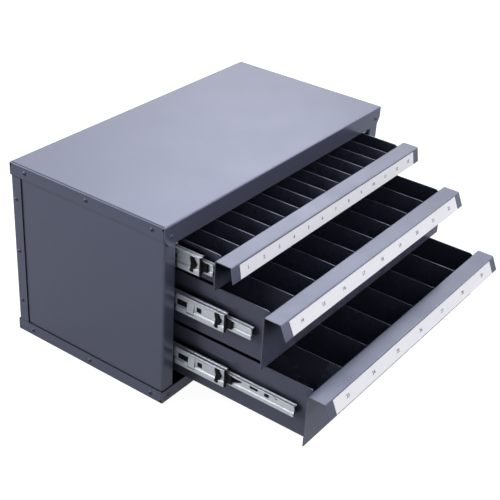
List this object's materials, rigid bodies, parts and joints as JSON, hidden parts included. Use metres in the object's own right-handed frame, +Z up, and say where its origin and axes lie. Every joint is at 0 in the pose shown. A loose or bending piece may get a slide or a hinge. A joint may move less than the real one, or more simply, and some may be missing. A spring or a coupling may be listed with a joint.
{
  "type": "drill bit dispenser cabinet",
  "caption": "Grey sheet-steel drill bit dispenser with stacked drawers of narrow bins on ball-bearing slides and slanted label handles.",
  "frame": {"origin": "centre of the cabinet's base, on the surface it stands on, midway between its front and rear flanges", "axes": "+Z up, the drawers open toward -Y, +X to the right seen from the front"},
  "size_m": [0.402, 0.4001, 0.2109],
  "materials": {
    "grey_paint": "semi-gloss powder coat",
    "painted_rivet": "semi-gloss powder coat over a rivet",
    "zinc_steel": "bright zinc plate",
    "ball_steel": "polished",
    "black_plastic": "moulded",
    "label": "satin printed strip"
  },
  "bodies": {
    "cabinet": {"top_cover": "grey_paint", "bottom_pan": "grey_paint", "back_panel": "grey_paint", "side_left": "grey_paint", "side_right": "grey_paint", "slide_uprights": "grey_paint", "cabinet_rivets": "painted_rivet", "slide_rivets": "zinc_steel", "slide_outer_1": "zinc_steel", "slide_outer_2": "zinc_steel", "slide_outer_3": "zinc_steel"},
    "middle_1": {"slide_middle_1": "zinc_steel", "slide_latch_1": "black_plastic", "slide_cages_1": "zinc_steel", "slide_balls_1": "ball_steel"},
    "drawer_1": {"drawer_box_1": "grey_paint", "drawer_front_1": "grey_paint", "dividers_1": "grey_paint", "label_1": "label", "slide_inner_1": "zinc_steel", "slide_lever_1": "black_plastic", "slide_spacers_1": "zinc_steel"},
    "middle_2": {"slide_middle_2": "zinc_steel", "slide_latch_2": "black_plastic", "slide_cages_2": "zinc_steel", "slide_balls_2": "ball_steel"},
    "drawer_2": {"drawer_box_2": "grey_paint", "drawer_front_2": "grey_paint", "dividers_2": "grey_paint", "label_2": "label", "slide_inner_2": "zinc_steel", "slide_lever_2": "black_plastic", "slide_spacers_2": "zinc_steel"},
    "middle_3": {"slide_middle_3": "zinc_steel", "slide_latch_3": "black_plastic", "slide_cages_3": "zinc_steel", "slide_balls_3": "ball_steel"},
    "drawer_3": {"drawer_box_3": "grey_paint", "drawer_front_3": "grey_paint", "dividers_3": "grey_paint", "label_3": "label", "slide_inner_3": "zinc_steel", "slide_lever_3": "black_plastic", "slide_spacers_3": "zinc_steel"}
  },
  "joints": [
    {"name": "middle_slide_1", "type": "slide", "parent": "cabinet", "child": "middle_1", "axis": [0, -1, 0], "range_m": [-0.0405, 0.0495]},
    {"name": "drawer_slide_1", "type": "slide", "parent": "middle_1", "child": "drawer_1", "axis": [0, -1, 0], "range_m": [-0.0057, 0.0893]},
    {"name": "middle_slide_2", "type": "slide", "parent": "cabinet", "child": "middle_2", "axis": [0, -1, 0], "range_m": [-0.084, 0.006]},
    {"name": "drawer_slide_2", "type": "slide", "parent": "middle_2", "child": "drawer_2", "axis": [0, -1, 0], "range_m": [-0.0223, 0.0727]},
    {"name": "middle_slide_3", "type": "slide", "parent": "cabinet", "child": "middle_3", "axis": [0, -1, 0], "range_m": [-0.0875, 0.0025]},
    {"name": "drawer_slide_3", "type": "slide", "parent": "middle_3", "child": "drawer_3", "axis": [0, -1, 0], "range_m": [-0.0745, 0.0205]}
  ]
}
